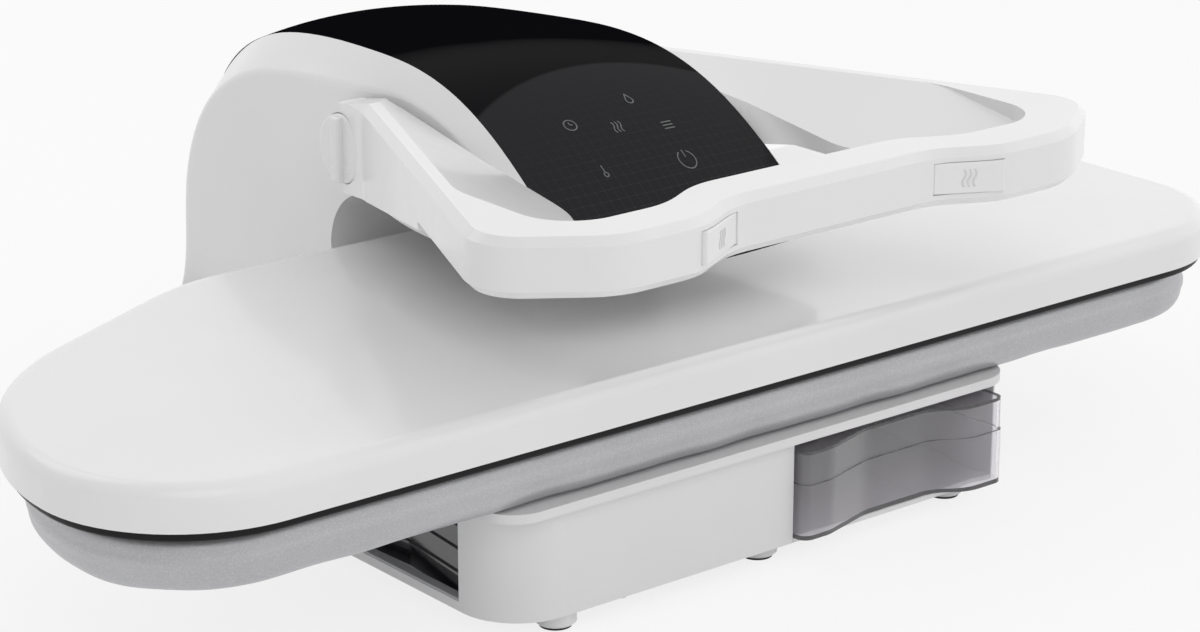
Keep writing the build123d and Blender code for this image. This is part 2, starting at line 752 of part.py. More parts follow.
def make_head():
    """Head casing, touch panel, underside, steel frame and control board."""
    casing = head_body(0, 0, shoulder_round)
    casing -= head_body(head_wall, crest_wall, shoulder_round - head_wall, -head_foot_angle)
    casing -= under_cut()
    casing -= heel_cut()
    ear = rod_x(hinge_y, hinge_z, barrel_radius, mech_x + column_half - ear_thick, mech_x + column_half)
    casing += both_sides(ear)
    casing -= rod_x(hinge_y, hinge_z, shaft_radius + fit, -300, 300)
    casing -= crest_sheet(6, panel_thick + fit, 0)
    casing -= crest_sheet(1, 30, panel_ledge, 5)
    casing -= rod_x(hub_y, hub_z, pivot_radius + fit, -300, 300)
    save("head_shell", casing)
    panel = crest_sheet(0, panel_thick, panel_gap, 0.3)
    panel -= under_cut()
    save("touch_panel", panel)

    floor = head_body(head_wall + fit, crest_wall, shoulder_round - head_wall)
    reach = fan_y - (arch_radius ** 2 - (head_under - fan_z) ** 2) ** 0.5
    floor &= box(-250, 280, -200, reach - 14, head_under, head_under + underside_thick)
    floor -= box(mech_x - post_half - fit, mech_x + post_half + fit, post_front - fit, post_back + fit, 0, 300)
    save("head_underside", floor)

    band = frame_band / 2
    path = [(hinge_y, hinge_z), (322, 140), (272, 212), (200, frame_top_z), (post_front + 16, frame_top_z)]
    cheek = side_band(path, band, mech_x + frame_inner, mech_x + frame_half)
    cheek -= rod_x(hinge_y, hinge_z, bush_radius + running_fit, mech_x, mech_x + 100)
    cheeks = both_sides(cheek)
    frame = cheeks
    for y, z in path[1:4]:
        frame += rod_x(y, z, frame_tube / 2, mech_x - frame_inner - 1, mech_x + frame_inner + 1)
    pin = rod_x(post_y, frame_top_z, 5 + running_fit, -300, 300)
    pivot = rod_x(hub_y, hub_z, pivot_radius + running_fit, -300, 300)
    frame -= pin
    frame -= pivot
    save("head_frame", frame)
    save("handle_pivot", rod_x(hub_y, hub_z, pivot_radius, mech_x - hub_face + knob_recess + knob_stub_length + 1,
                               mech_x + hub_face - knob_recess - knob_stub_length - 1))
    z = frame_top_z + band + fit
    y = post_y + 30
    board = box(mech_x - control_board_length / 2, mech_x + control_board_length / 2,
                y - control_board_depth / 2, y + control_board_depth / 2, z + control_board_lift,
                z + control_board_lift + control_board_thick)
    for sx in (-1, 1):
        for sy in (-1, 1):
            board += rod_z(mech_x + sx * (frame_half - frame_thick / 2), y + sy * 30, 2, z,
                           z + control_board_lift + 0.1)
    save("control_board", board)


def make_plate():
    """The pressing plate and everything between it and the head."""
    cover = slab(press_outline(), cover_z, cover_top)
    cover = fillet(cover.edges().group_by(Axis.Z)[-1], cover_edge_radius)
    inside = slab(press_outline(cover_wall), cover_z - 1, cover_top - cover_wall)
    inside = fillet(inside.edges().group_by(Axis.Z)[-1], cover_edge_radius - cover_wall)
    cover -= inside
    cover -= box(mech_x - post_half - fit, mech_x + post_half + fit, post_front - fit, post_back + fit, 0, 300)
    save("plate_cover", cover)

    plate = slab(press_outline(cover_wall + heat_plate_clear), heat_z, heat_top)
    plate = fillet(plate.edges().group_by(Axis.Z)[0], 2)
    for i in range(steam_hole_columns):
        for j in range(steam_hole_rows):
            x = (i - (steam_hole_columns - 1) / 2) * steam_hole_pitch
            y = (j - (steam_hole_rows - 1) / 2) * steam_hole_row_gap
            plate -= rod_z(x, y, steam_hole / 2, heat_z - 1, heat_z + 5)
    save("heating_plate", plate)
    lid = slab(rounded_plan(mech_x - steam_lid_length / 2, mech_x + steam_lid_length / 2,
                            -steam_lid_depth / 2, steam_lid_depth / 2, 20),
               heat_top + fit, heat_top + fit + steam_lid_thick)
    save("steam_chamber_lid", lid)

    save("thermostat", rod_z(mech_x + carrier_length / 2 + 20, 0, thermostat_size / 2, heat_top + fit,
                             heat_top + fit + thermostat_thick))

    hx = element_length / 2
    hy = element_depth / 2
    z = heat_top + fit + element_tube / 2
    path = FilletPolyline((20, hy, z), (-hx, hy, z), (-hx, -hy, z), (hx, -hy, z), (hx, hy, z), (60, hy, z),
                          radius=element_bend)
    ring = Plane(origin=path @ 0, z_dir=path % 0) * Circle(element_tube / 2)
    element = sweep(ring, path=path)
    print("element volume", element.volume, "section x length", 3.14159265 * 16 * path.length)
    save("heating_element", element)

    places = [(mech_x + dx, dy) for dx in (-180, 0, 180) for dy in (-62, 62)]
    standoffs = [rod_z(x, y, standoff_size / 2, heat_top, carrier_z) for x, y in places]
    save("plate_standoffs", Compound(standoffs))
    carrier = slab(rounded_plan(mech_x - carrier_length / 2, mech_x + carrier_length / 2, -carrier_depth / 2,
                                carrier_depth / 2, 12), carrier_z, carrier_top)
    post = box(mech_x - post_half, mech_x + post_half, post_front, post_back, carrier_top,
               frame_top_z + frame_band / 2)
    post -= box(mech_x - post_half + post_wall, mech_x + post_half - post_wall, post_front + post_wall,
                post_back - post_wall, 0, 400)
    post += slab(rounded_plan(mech_x - post_half - post_flange, mech_x + post_half + post_flange,
                              post_front - post_flange, post_back + post_flange, 6),
                 carrier_top, carrier_top + post_flange_thick)
    post -= rod_x(post_y, frame_top_z, 5 + running_fit, -300, 300)
    bolts = []
    for dx in (-1, 1):
        for y in (post_front - post_flange / 2, post_back + post_flange / 2):
            x = mech_x + dx * (post_half + post_flange / 2)
            top = carrier_top + post_flange_thick
            bolts.append(rod_z(x, y, 3, carrier_z, top) + rod_z(x, y, 5, top, top + 3))
            post -= rod_z(x, y, 3 + running_fit, 0, top + 1)
            carrier -= rod_z(x, y, 3 + running_fit, 0, carrier_top + 1)
    save("plate_carrier", carrier)
    save("flange_bolts", Compound(bolts))
    save("plate_post", post)
    bolt = rod_x(post_y, frame_top_z, 5, mech_x - frame_half - 2, mech_x + frame_half + 2)
    bolt += rod_x(post_y, frame_top_z, 9, mech_x + frame_half + fit, mech_x + frame_half + 6)
    bolt += rod_x(post_y, frame_top_z, 9, mech_x - frame_half - 6, mech_x - frame_half - fit)
    save("post_bolt", bolt)
    x_out = post_half + fit + shroud_wall
    y_out = post_depth / 2 + fit + shroud_wall
    shroud = slab(rounded_plan(mech_x - x_out, mech_x + x_out, post_y - y_out, post_y + y_out, 6),
                  cover_top + fit, head_under - fit)
    shroud -= box(mech_x - post_half - fit, mech_x + post_half + fit, post_front - fit, post_back + fit, 0, 300)
    save("post_shroud", shroud)


def horseshoe(points):
    """A closed plan face from (half width, y, corner radius) points and their mirror image."""
    right = [(x, y) for x, y, r in points]
    left = [(-x, y) for x, y, r in reversed(points)]
    radii = [r for x, y, r in points]
    return Pos(mech_x, 0) * make_face(FilletPolyline(*right, *left, radius=radii + radii[::-1], close=True))


def outer_plan():
    """Outer outline of the handle in plan, from the recessed middle of the bar to the hubs."""
    return horseshoe([
        (s_bend_x - s_bend_half, grip_front, s_bend_round),
        (s_bend_x + s_bend_half, lobe_front, s_bend_round),
        (lobe_x, lobe_front, lobe_round),
        (arm_tip_x, arm_tip_y, arm_tip_round),
        (arm_foot_x, arm_foot_y, arm_foot_round),
        (hub_face, hub_y, arm_foot_round / 2),
        (hub_face, hub_y + hub_radius + 2, 0),
    ])


def rim_x(y):
    """Half width of the handle at the inner edge of the arms' rims."""
    return arm_foot_x + (y - arm_foot_y) * grip_slope - rim_width


def arm_inner(y):
    """Half distance between the arms at a place along the head, clear of its side walls."""
    return max(head_half(fan_angle(y, grip_bottom - arm_drop)) + arm_gap, hub_inner)


def inner_plan(rim):
    """Inner outline of the handle: beside the head, or out at the arms' rims."""
    rear = grip_front + grip_depth
    lobe = rear - grip_recess
    end = hub_y + hub_radius + 6
    points = [(s_bend_x - s_bend_half, rear, s_bend_round), (s_bend_x + s_bend_half, lobe, s_bend_round)]
    if rim:
        points += [(rim_corner_x, lobe, rim_corner_round), (rim_x(throat_y), throat_y, s_bend_round),
                   (rim_x(0), 0, 0), (hub_inner + rim_width, arm_foot_y, 0), (hub_inner, end, 0)]
    else:
        points += [(throat_x, lobe, throat_round), (arm_inner(throat_y), throat_y, s_bend_round),
                   (arm_inner(0), 0, 0), (arm_inner(90), 90, 0), (hub_inner, end, 0)]
    return horseshoe(points)


def dish():
    """What is cut away inside the right arm's rim: a plane that falls towards the head."""
    rim_front = Vector(mech_x + rim_x(throat_y), throat_y, grip_top)
    rim_rear = Vector(mech_x + rim_x(60), 60, grip_top)
    floor = Vector(mech_x + arm_inner(throat_y), throat_y, dish_floor)
    up = (rim_rear - rim_front).cross(floor - rim_front)
    plane = Plane(origin=rim_front, x_dir=rim_rear - rim_front, z_dir=up if up.Z > 0 else up * -1)
    above = plane * (Pos(0, 0, 100) * Box(900, 900, 200))
    return slab(inner_plan(True), 200, grip_top + 5) & above & box(mech_x, 400, -400, 400, 0, 400)


def handle_keep():
    """Side view of the handle: level bar, arms that deepen towards round hubs."""
    top = hub_z + hub_radius
    low = hub_z - hub_radius
    points = [
        (hub_y, top),
        (hub_y - 34, grip_top),
        (lobe_front - 5, grip_top),
        (lobe_front - 5, grip_bottom),
        (arm_root_y, grip_bottom),
        (20, grip_bottom - 12),
        (hub_y - 40, low + 5),
        (hub_y, low),
    ]
    return side_sheet(points, -300, 330) + rod_x(hub_y, hub_z, hub_radius, -300, 330)


def button_plane(side):
    """Plane on the S-bend of the bar: X along the bar, Z out of its front."""
    tilt = atan2(grip_recess, 2 * s_bend_half)
    middle = (grip_front + lobe_front) / 2
    return Plane(origin=(mech_x + side * s_bend_x, middle, grip_mid_z),
                 x_dir=(cos(tilt), -side * sin(tilt), 0), z_dir=(-side * sin(tilt), -cos(tilt), 0))


def make_knob(side):
    """Side knob: a disc with a raised finger ridge and a stub that turns in the hub."""
    back = hub_face - knob_recess
    front = back + knob_thick
    knob = rod_x(hub_y, hub_z, knob_size / 2, back + fit, front)
    knob = fillet(knob.edges().group_by(Axis.X)[-1], 2)
    knob += rod_x(hub_y, hub_z, knob_stub / 2, back - knob_stub_length, front - 1)
    ridge = box(back + 1, front + knob_ridge, hub_y - knob_ridge_width / 2, hub_y + knob_ridge_width / 2,
                hub_z - knob_size / 2, hub_z + knob_size / 2)
    ridge &= rod_x(hub_y, hub_z, knob_size / 2 - 1, 0, 300)
    ridge = fillet(ridge.edges().group_by(Axis.X)[-1], 2.5)
    knob += ridge
    if side < 0:
        knob = mirror(knob, about=Plane.YZ)
    return Pos(mech_x, 0, 0) * knob


def make_handle():
    """Horseshoe handle with its lower cover, steam buttons, switches and side knobs."""
    outline = outer_plan()
    inner = inner_plan(False)
    grip = slab(outline, grip_bottom, grip_top)
    grip = chamfer(grip.edges().group_by(Axis.Z)[0] + grip.edges().group_by(Axis.Z)[-1], grip_bevel)
    arms = slab(outline, hub_z - hub_radius - 2, grip_bottom + 2 * grip_bevel)
    body = grip + (arms & box(-300, 330, arm_root_y, 300, 0, 300))
    body -= slab(inner, 150, grip_top + 5)
    body -= both_sides(dish())
    body &= handle_keep()
    bar = (outline & Pos(0, -250) * Rectangle(700, 240)) - inner_plan(True)
    body -= slab(offset(bar, amount=-grip_cavity_inset), grip_bottom - 1, grip_top - grip_roof)
    recess_x = mech_x + hub_face - knob_recess
    body -= rod_x(hub_y, hub_z, pivot_radius + running_fit, -300, 330)
    body -= both_sides(rod_x(hub_y, hub_z, knob_size / 2 + knob_recess_gap, recess_x, recess_x + 20))
    body -= both_sides(rod_x(hub_y, hub_z, knob_stub / 2 + running_fit, recess_x - knob_stub_length - fit,
                             recess_x + 1))
    for side, name in ((-1, "left"), (1, "right")):
        plane = button_plane(side)
        body -= plane * Box(button_width + 2 * button_gap, button_height + 2 * button_gap, 2 * grip_depth / 3)
        button = Pos(0, 0, button_proud - button_depth / 2) * Box(button_width, button_height, button_depth)
        button = fillet(button.edges().group_by(Axis.Z)[-1], button_round)
        save(name + "_steam_button", plane * button)
        back = button_proud - button_depth - button_travel - fit
        low = grip_bottom + grip_cover_thick - grip_mid_z
        high = switch_width / 2
        switch = Box(switch_width, high - low, switch_depth)
        save(name + "_button_switch", plane * (Pos(0, (low + high) / 2, back - switch_depth / 2) * switch))
        save(name + "_lock_knob", make_knob(side))
    save("handle_body", body)
    save("handle_cover", slab(offset(bar, amount=-grip_cavity_inset - fit), grip_bottom,
                              grip_bottom + grip_cover_thick))


def make_all():
    make_base()
    make_side_panel()
    make_feet()
    make_board()
    make_tank()
    make_water_parts()
    make_hinge()
    make_head()
    make_plate()
    make_handle()


if __name__ == "__main__":
    make_all()
    os.makedirs("parts", exist_ok=True)
    for name, shape in SOLIDS.items():
        export_step(shape, os.path.join("parts", name + ".step"))
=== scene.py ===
import json
from math import cos, pi, radians, sin, tan

import bmesh
import bpy
import numpy as np
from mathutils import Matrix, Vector


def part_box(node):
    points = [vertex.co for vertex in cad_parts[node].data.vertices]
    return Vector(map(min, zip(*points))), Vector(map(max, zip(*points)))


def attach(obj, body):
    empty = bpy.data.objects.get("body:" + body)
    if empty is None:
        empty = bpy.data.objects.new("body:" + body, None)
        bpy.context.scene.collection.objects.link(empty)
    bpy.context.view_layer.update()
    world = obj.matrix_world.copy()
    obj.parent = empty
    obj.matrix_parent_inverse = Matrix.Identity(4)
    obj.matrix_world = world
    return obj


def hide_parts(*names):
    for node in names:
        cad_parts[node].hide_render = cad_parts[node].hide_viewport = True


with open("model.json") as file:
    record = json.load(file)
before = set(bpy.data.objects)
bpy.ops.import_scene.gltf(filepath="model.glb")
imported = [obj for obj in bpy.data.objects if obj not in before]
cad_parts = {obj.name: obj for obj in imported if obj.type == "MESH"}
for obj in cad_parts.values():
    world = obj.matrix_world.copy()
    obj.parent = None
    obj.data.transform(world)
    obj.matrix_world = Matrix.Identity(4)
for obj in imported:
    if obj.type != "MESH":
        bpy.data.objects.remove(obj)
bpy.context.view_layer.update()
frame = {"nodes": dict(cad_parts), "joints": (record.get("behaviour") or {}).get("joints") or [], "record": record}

bl_info = {
    "name": "Tabletop steam press",
    "version": (1, 0, 0),
    "blender": (4, 5, 0),
    "location": "View3D > Sidebar > Steam press",
    "description": "Finishes, padded board, panel symbols and stage of a tabletop steam press",
    "category": "Object",
}

# Places taken from the frame, in metres
plate_low, plate_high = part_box("plate_cover")
board_low, board_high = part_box("board_cover")
tray_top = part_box("board_tray")[1][2]
plate_middle_y = (plate_low[1] + plate_high[1]) / 2
joint_place = {j["name"]: j.get("pos_m") for j in frame["joints"]}
mech_x = joint_place["handle_lift"][0]

# The head's sections turn about an axis along X: this far behind the plate's middle, and this high
fan_y = plate_middle_y + 0.148
fan_z = 0.148

# Panel symbols: kind, distance to the right of the panel's middle, degrees up about the fan axis
SYMBOL_PLACES = (
    ("clock", -0.039, 37.7),
    ("steam", -0.008, 35.0),
    ("drop", 0.016, 41.2),
    ("lines", 0.029, 33.2),
    ("heat", -0.039, 26.8),
    ("power", 0.025, 25.6),
)

# Lamps: name, place, diameter in metres, power in watts
LAMPS = (
    ("lamp_key", (-1.4, -2.4, 2.5), 2.6, 13.5),
    ("lamp_fill", (2.4, -1.4, 1.8), 2.4, 3.5),
    ("lamp_back", (-0.6, 2.3, 2.6), 2.2, 8.0),
)


class PressSizes(bpy.types.PropertyGroup):
    """Sizes of the pieces that are made here, in metres."""

    nose_front: bpy.props.FloatProperty(
        name="Front nose radius", description="Radius of the plate's nose towards the front",
        default=0.097, unit="LENGTH")
    front_corner: bpy.props.FloatProperty(
        name="Front corner radius", description="Radius of the plate's front right corner",
        default=0.090, unit="LENGTH")
    rear_corner: bpy.props.FloatProperty(
        name="Rear corner radius", description="Radius of the plate's rear right corner",
        default=0.062, unit="LENGTH")
    nose_taper: bpy.props.FloatProperty(
        name="Nose taper", description="Angle of the tapered rear edge of the nose",
        default=radians(26), subtype="ANGLE")
    taper_start: bpy.props.FloatProperty(
        name="Taper start", description="Distance from the left end at which the taper starts",
        default=0.235, unit="LENGTH")
    crease_radius: bpy.props.FloatProperty(
        name="Crease radius", description="Radius where the taper meets the straight rear edge",
        default=0.150, unit="LENGTH")
    top_round: bpy.props.FloatProperty(
        name="Cushion top round", description="Radius of the cushion's upper edge",
        default=0.013, unit="LENGTH")
    low_round: bpy.props.FloatProperty(
        name="Cushion low round", description="Radius of the cushion's lower edge",
        default=0.015, unit="LENGTH")
    hem: bpy.props.FloatProperty(
        name="Hem width", description="How far the cover is turned in under the board",
        default=0.030, unit="LENGTH")
    pucker: bpy.props.FloatProperty(
        name="Pucker", description="Depth of the small gathers along the drawn hem",
        default=0.0006, unit="LENGTH")
    symbol_line: bpy.props.FloatProperty(
        name="Symbol line", description="Width of the panel symbols' lines",
        default=0.0009, unit="LENGTH")
    symbol_size: bpy.props.FloatProperty(
        name="Symbol size", description="Height of one small panel symbol",
        default=0.0085, unit="LENGTH")
    power_size: bpy.props.FloatProperty(
        name="Power symbol size", description="Diameter of the power symbol's ring",
        default=0.013, unit="LENGTH")
    glyph_line: bpy.props.FloatProperty(
        name="Glyph line", description="Width of the raised lines on the thumb buttons",
        default=0.0011, unit="LENGTH")
    glyph_height: bpy.props.FloatProperty(
        name="Glyph height", description="Height of the steam glyph on the thumb buttons",
        default=0.0105, unit="LENGTH")


class PressColours(bpy.types.PropertyGroup):
    """Colours of the finishes."""

    white: bpy.props.FloatVectorProperty(
        name="White shell", description="Gloss shells of the head, plate and handle",
        default=(0.86, 0.856, 0.86), subtype="COLOR", min=0, max=1)
    base_white: bpy.props.FloatVectorProperty(
        name="Base white", description="Warmer white of the base", default=(0.82, 0.815, 0.82),
        subtype="COLOR", min=0, max=1)
    panel: bpy.props.FloatVectorProperty(
        name="Touch panel", description="Black of the touch panel", default=(0.004, 0.004, 0.005),
        subtype="COLOR", min=0, max=1)
    # Painted reflection: this dark grey, laid on the panel's lower zone in place of black, stands in for a
    # reflection
    panel_painted_reflection: bpy.props.FloatVectorProperty(
        name="Touch panel, lower zone", description="Dark grey of the key field",
        default=(0.024, 0.024, 0.026), subtype="COLOR", min=0, max=1)
    cloth: bpy.props.FloatVectorProperty(
        name="Board cloth", description="Metallised cloth of the board", default=(0.47, 0.47, 0.485),
        subtype="COLOR", min=0, max=1)
    tank: bpy.props.FloatVectorProperty(
        name="Tank", description="Tint of the clear water tank", default=(0.92, 0.905, 0.93),
        subtype="COLOR", min=0, max=1)
    symbol: bpy.props.FloatVectorProperty(
        name="Panel symbols", description="Faint grey of the panel symbols", default=(0.095, 0.098, 0.10),
        subtype="COLOR", min=0, max=1)


def sizes():
    """The sizes that the user set."""
    return bpy.context.scene.press_sizes


def colours():
    """The colours that the user set."""
    return bpy.context.scene.press_colours


# Materials

def start_material(name):
    """A new material with its tree, its shader and Object coordinates."""
    material = bpy.data.materials.new(name)
    material.use_nodes = True
    tree = material.node_tree
    coords = tree.nodes.new("ShaderNodeTexCoord").outputs["Object"]
    return material, tree, tree.nodes["Principled BSDF"], coords


def noise(tree, coords, scale, detail=3.0):
    """Noise at a number of cells in each metre."""
    node = tree.nodes.new("ShaderNodeTexNoise")
    node.inputs["Scale"].default_value = scale
    node.inputs["Detail"].default_value = detail
    tree.links.new(coords, node.inputs["Vector"])
    return node.outputs["Fac"]


def spread(tree, value, low, high):
    """A 0 to 1 value, spread between two numbers."""
    node = tree.nodes.new("ShaderNodeMapRange")
    node.inputs["To Min"].default_value = low
    node.inputs["To Max"].default_value = high
    tree.links.new(value, node.inputs["Value"])
    return node.outputs["Result"]


def maths(tree, operation, first, second=None, third=None):
    """One math node. Each input is a socket or a number."""
    node = tree.nodes.new("ShaderNodeMath")
    node.operation = operation
    for i, value in enumerate((first, second, third)):
        if value is None:
            continue
        if isinstance(value, (int, float)):
            node.inputs[i].default_value = value
        else:
            tree.links.new(value, node.inputs[i])
    return node.outputs[0]


def mix_colours(tree, factor, first, second):
    """A colour between two, by a socket. Each of the two is a tuple or a socket."""
    node = tree.nodes.new("ShaderNodeMix")
    node.data_type = "RGBA"
    tree.links.new(factor, node.inputs["Factor"])
    for name, colour in (("A", first), ("B", second)):
        if isinstance(colour, tuple):
            node.inputs[name].default_value = (*colour, 1)
        else:
            tree.links.new(colour, node.inputs[name])
    return node.outputs["Result"]


def blend_shaders(tree, factor, first, second):
    """Two shaders, mixed by a socket, as the material's surface."""
    blend = tree.nodes.new("ShaderNodeMixShader")
    tree.links.new(factor, blend.inputs["Fac"])
    tree.links.new(first, blend.inputs[1])
    tree.links.new(second, blend.inputs[2])
    tree.links.new(blend.outputs["Shader"], tree.nodes["Material Output"].inputs["Surface"])


def split_axes(tree, vector):
    """The X, Y and Z outputs of a vector."""
    node = tree.nodes.new("ShaderNodeSeparateXYZ")
    tree.links.new(vector, node.inputs["Vector"])
    return node.outputs


def add_bump(tree, shader, height, depth):
    """Bump of a real depth in metres."""
    node = tree.nodes.new("ShaderNodeBump")
    node.inputs["Strength"].default_value = 1.0
    node.inputs["Distance"].default_value = depth
    tree.links.new(height, node.inputs["Height"])
    tree.links.new(node.outputs["Normal"], shader.inputs["Normal"])


def seen_directly(tree):
    """1 where a ray comes from the camera, a reflection or through clear plastic, and 0 elsewhere."""
    path = tree.nodes.new("ShaderNodeLightPath")
    mirrored = maths(tree, "MAXIMUM", path.outputs["Is Glossy Ray"], path.outputs["Is Transmission Ray"])
    return maths(tree, "MAXIMUM", path.outputs["Is Camera Ray"], mirrored)


def scaled(colour, factor):
    """A colour made darker or lighter."""
    return tuple(min(1.0, c * factor) for c in colour)


def moulded(name, colour, roughness, grain, grain_depth, coat=0.0, metallic=0.0, specular=0.5):
    """Moulded or cast surface: slow changes of tone, fine grain and uneven gloss. The grain is in cells
    in each metre, and its depth in metres."""
    tone_cells, gloss_cells, coat_roughness = 9.0, 60.0, 0.08
    material, tree, shader, coords = start_material(name)
    slow = noise(tree, coords, tone_cells, 2.0)
    tone = mix_colours(tree, slow, scaled(colour, 0.965), scaled(colour, 1.03))
    tree.links.new(tone, shader.inputs["Base Color"])
    fine = noise(tree, coords, grain, 4.0)
    gloss = spread(tree, noise(tree, coords, gloss_cells), roughness * 0.85, roughness * 1.2)
    tree.links.new(gloss, shader.inputs["Roughness"])
    shader.inputs["Metallic"].default_value = metallic
    shader.inputs["Specular IOR Level"].default_value = specular
    shader.inputs["Coat Weight"].default_value = coat
    shader.inputs["Coat Roughness"].default_value = coat_roughness
    add_bump(tree, shader, fine, grain_depth)
    return material


def brushed(name, colour, roughness):
    """Drawn steel: fine lines along X, in tone, gloss and height."""
    line_cells, line_stretch, line_depth = 1400.0, 0.04, 0.00001
    material, tree, shader, coords = start_material(name)
    mapping = tree.nodes.new("ShaderNodeMapping")
    mapping.inputs["Scale"].default_value = (line_stretch, 1.0, 1.0)
    tree.links.new(coords, mapping.inputs["Vector"])
    lines = noise(tree, mapping.outputs["Vector"], line_cells, 4.0)
    tone = mix_colours(tree, lines, scaled(colour, 0.85), scaled(colour, 1.1))
    tree.links.new(tone, shader.inputs["Base Color"])
    shader.inputs["Metallic"].default_value = 1.0
    tree.links.new(spread(tree, lines, roughness, roughness + 0.15), shader.inputs["Roughness"])
    add_bump(tree, shader, lines, line_depth)
    return material


def panel_finish():
    """Gloss black panel: fine grid and dots on the lower key field, plain black above it. The key
    field's dark grey ground, in place of black, is a painted reflection.

    The key field ends at an angle about the fan axis that falls by the bow times the squared distance
    from the middle. Its marks grow from nothing at that edge.
    """
    field_edge, field_bow, edge_sharpness = radians(54), 18.0, 60.0
    pitch_up, pitch_across, line_share = 0.034, 0.0068, 0.05
    grid_strength, dot_strength, fade_rate = 0.20, 0.7, 1.6
    hue = colours()
    material, tree, shader, coords = start_material("panel_gloss_black")
    axes = split_axes(tree, coords)
    forward = maths(tree, "SUBTRACT", fan_y, axes["Y"])
    upward = maths(tree, "SUBTRACT", axes["Z"], fan_z)
    angle = maths(tree, "ARCTAN2", upward, forward)
    across = maths(tree, "SUBTRACT", axes["X"], mech_x)
    bow = maths(tree, "MULTIPLY", maths(tree, "MULTIPLY", across, across), field_bow)
    edge = maths(tree, "SUBTRACT", field_edge, maths(tree, "ADD", angle, bow))
    # Mask of the lower zone: it lays on the painted reflection's dark grey, and it bounds the grid and dots
    lower = maths(tree, "MULTIPLY_ADD", edge, edge_sharpness, 0.5)
    lower = maths(tree, "MINIMUM", maths(tree, "MAXIMUM", lower, 0.0), 1.0)
    lines = []
    for value, pitch in ((angle, pitch_up), (across, pitch_across)):
        phase = maths(tree, "FRACT", maths(tree, "DIVIDE", value, pitch))
        away = maths(tree, "ABSOLUTE", maths(tree, "SUBTRACT", phase, 0.5))
        lines.append(maths(tree, "GREATER_THAN", away, (1 - line_share) / 2))
    grid = maths(tree, "MAXIMUM", lines[0], lines[1])
    dots = maths(tree, "MULTIPLY", lines[0], lines[1])
    inside = maths(tree, "MAXIMUM", maths(tree, "MULTIPLY", edge, fade_rate), 0.0)
    fade = maths(tree, "MINIMUM", maths(tree, "MULTIPLY", lower, inside), 1.0)
    strong = maths(tree, "MULTIPLY", fade, maths(tree, "MULTIPLY", dots, dot_strength))
    faint = maths(tree, "MULTIPLY", fade, maths(tree, "MULTIPLY", grid, grid_strength))
    # Painted reflection: the ground turns from black to dark grey inside the lower zone
    ground = mix_colours(tree, lower, tuple(hue.panel), tuple(hue.panel_painted_reflection))
    marked = mix_colours(tree, maths(tree, "MAXIMUM", strong, faint), ground, tuple(hue.symbol))
    tree.links.new(marked, shader.inputs["Base Color"])
    tree.links.new(spread(tree, noise(tree, coords, 40.0), 0.05, 0.10), shader.inputs["Roughness"])
    facing = tree.nodes.new("ShaderNodeLayerWeight").outputs["Facing"]
    shine = maths(tree, "MAXIMUM", maths(tree, "MULTIPLY_ADD", facing, -0.07, 0.05), 0.0)
    tree.links.new(shine, shader.inputs["Specular IOR Level"])
    return material


def cloth_finish():
    """Metallised cloth: a plain weave that follows the surface, with fine bright flecks."""
    thread_pitch, relief = 0.0011, 0.00012
    fleck_cells, fleck_share, fleck_strength = 2400.0, 0.16, 0.40
    hue = tuple(colours().cloth)
    material, tree, shader, coords = start_material("cloth_metallised")
    uv = tree.nodes.new("ShaderNodeUVMap")
    uv.uv_map = "weave"
    axes = split_axes(tree, uv.outputs["UV"])
    threads = [maths(tree, "SINE", maths(tree, "MULTIPLY", axes[name], 2 * pi / thread_pitch))
               for name in ("X", "Y")]
    weave = spread(tree, maths(tree, "MULTIPLY", threads[0], threads[1]), 0.4, 0.6)
    cells = tree.nodes.new("ShaderNodeTexVoronoi")
    cells.inputs["Scale"].default_value = fleck_cells
    tree.links.new(coords, cells.inputs["Vector"])
    random = tree.nodes.new("ShaderNodeSeparateColor")
    tree.links.new(cells.outputs["Color"], random.inputs["Color"])
    fleck = maths(tree, "GREATER_THAN", random.outputs["Red"], 1 - fleck_share)
    slow = noise(tree, coords, 14.0, 4.0)
    ground = mix_colours(tree, slow, scaled(hue, 0.90), scaled(hue, 1.10))
    marked = mix_colours(tree, maths(tree, "MULTIPLY", fleck, fleck_strength), ground, scaled(hue, 1.5))
    tree.links.new(marked, shader.inputs["Base Color"])
    shader.inputs["Metallic"].default_value = 0.6
    tree.links.new(spread(tree, random.outputs["Green"], 0.30, 0.44), shader.inputs["Roughness"])
    height = maths(tree, "ADD", weave, maths(tree, "MULTIPLY", slow, 0.8))
    add_bump(tree, shader, height, relief)
    return material


def tank_finish():
    """Clear moulded plastic with a faint violet grey tint and slight waves in its walls."""
    wave_cells, wave_depth = 28.0, 0.0005
    material, tree, shader, coords = start_material("tank_clear")
    shader.inputs["Base Color"].default_value = (*colours().tank, 1)
    shader.inputs["Transmission Weight"].default_value = 0.95
    shader.inputs["IOR"].default_value = 1.49
    shader.inputs["Coat Weight"].default_value = 0.3
    tree.links.new(spread(tree, noise(tree, coords, 30.0), 0.015, 0.04), shader.inputs["Roughness"])
    add_bump(tree, shader, noise(tree, coords, wave_cells, 1.0), wave_depth)
    through = tree.nodes.new("ShaderNodeBsdfTransparent")
    through.inputs["Color"].default_value = (0.93, 0.92, 0.94, 1)
    shadow_ray = tree.nodes.new("ShaderNodeLightPath").outputs["Is Shadow Ray"]
    blend_shaders(tree, shadow_ray, shader.outputs["BSDF"], through.outputs["BSDF"])
    return material


def dress(slot, material):
    """Give every CAD node of a slot its finish."""
    for part in frame["record"]["subparts"]:
        if part["material_slot"] != slot:
            continue
        node = frame["nodes"][part["node"]]
        if not node.material_slots:
            node.data.materials.append(material)
        for place in node.material_slots:
            place.link = "OBJECT"
            place.material = material


# Surfaces

